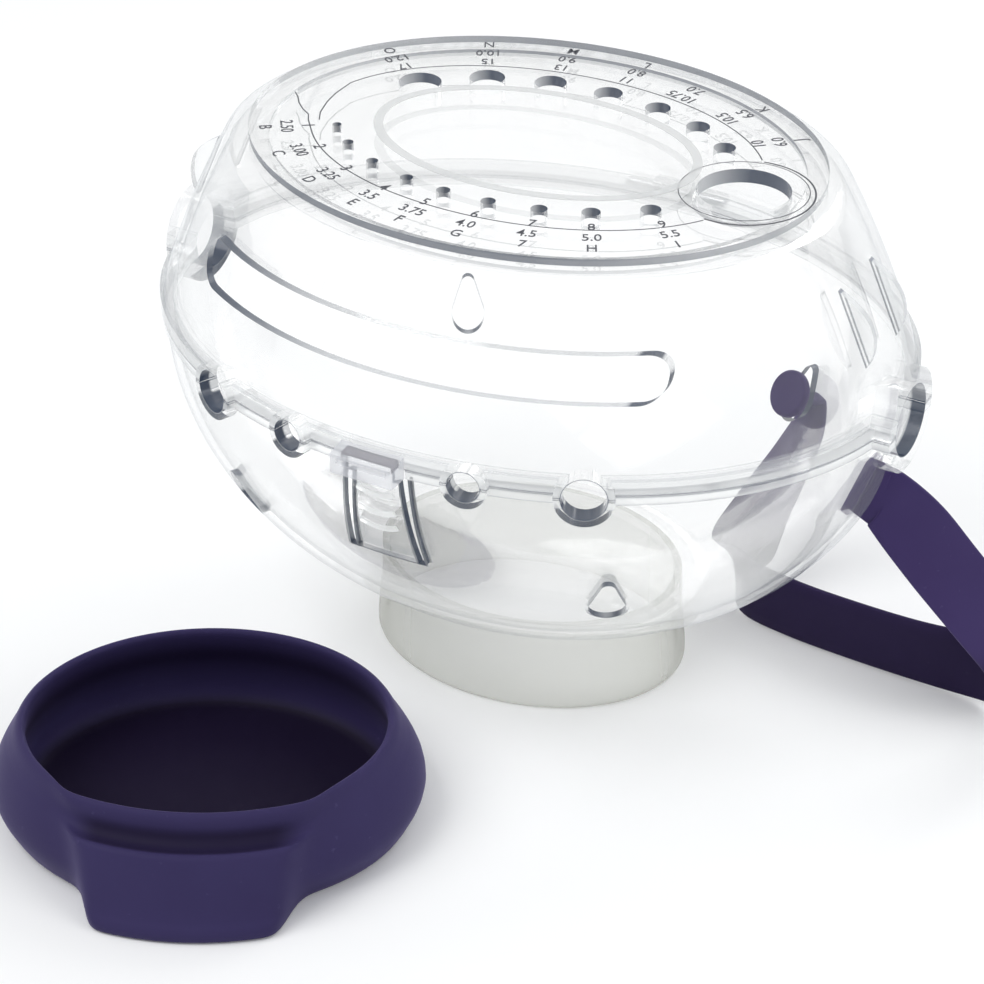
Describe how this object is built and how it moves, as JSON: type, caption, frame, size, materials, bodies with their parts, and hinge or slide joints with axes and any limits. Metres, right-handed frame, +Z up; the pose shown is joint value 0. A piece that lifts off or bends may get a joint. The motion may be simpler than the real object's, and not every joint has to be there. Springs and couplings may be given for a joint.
{
  "type": "portable yarn bowl",
  "caption": "Clear oval yarn bowl on a pedestal foot, with a hinged needle-gauge lid, yarn feed slot and holes, snap latch, soft strap and a separate soft tray.",
  "frame": {"origin": "centre of the pedestal foot, on the table", "axes": "+Z up through the lid, +X along the oval towards the docking hole, -Y towards the latch and the feed slot"},
  "size_m": [0.2597, 0.2719, 0.16],
  "materials": {
    "clear_shell": "water-clear moulded plastic",
    "frosted_foot": "pale translucent plastic",
    "clear_plate": "water-clear plate with dark printed sizes",
    "frosted_catch": "frosted moulded plastic",
    "pin_steel": "plain steel",
    "purple_silicone": "matte soft-touch silicone"
  },
  "bodies": {
    "bowl": {"bowl_shell": "clear_shell", "pedestal_foot": "frosted_foot", "hinge_pin": "pin_steel", "strap_band": "purple_silicone"},
    "lid": {"lid_shell": "clear_shell", "gauge_plate": "clear_plate", "lid_catch": "frosted_catch"},
    "tongue": {"latch_tongue": "clear_shell"},
    "tray": {"base_tray": "purple_silicone"}
  },
  "joints": [
    {"name": "lid_hinge", "type": "hinge", "parent": "bowl", "child": "lid", "pos_m": [0, 0.0905, 0.105], "axis": [-1, 0, 0], "range_deg": [0, 110]},
    {"name": "tongue_flex", "type": "hinge", "parent": "bowl", "child": "tongue", "pos_m": [0, -0.0796, 0.0735], "axis": [-1, 0, 0], "range_deg": [0, 1.5], "stiffness_Nm_per_rad": 2},
    {"name": "tray_lift", "type": "slide", "parent": "bowl", "child": "tray", "axis": [0, 0, 1], "range_m": [0, 0.03]}
  ]
}
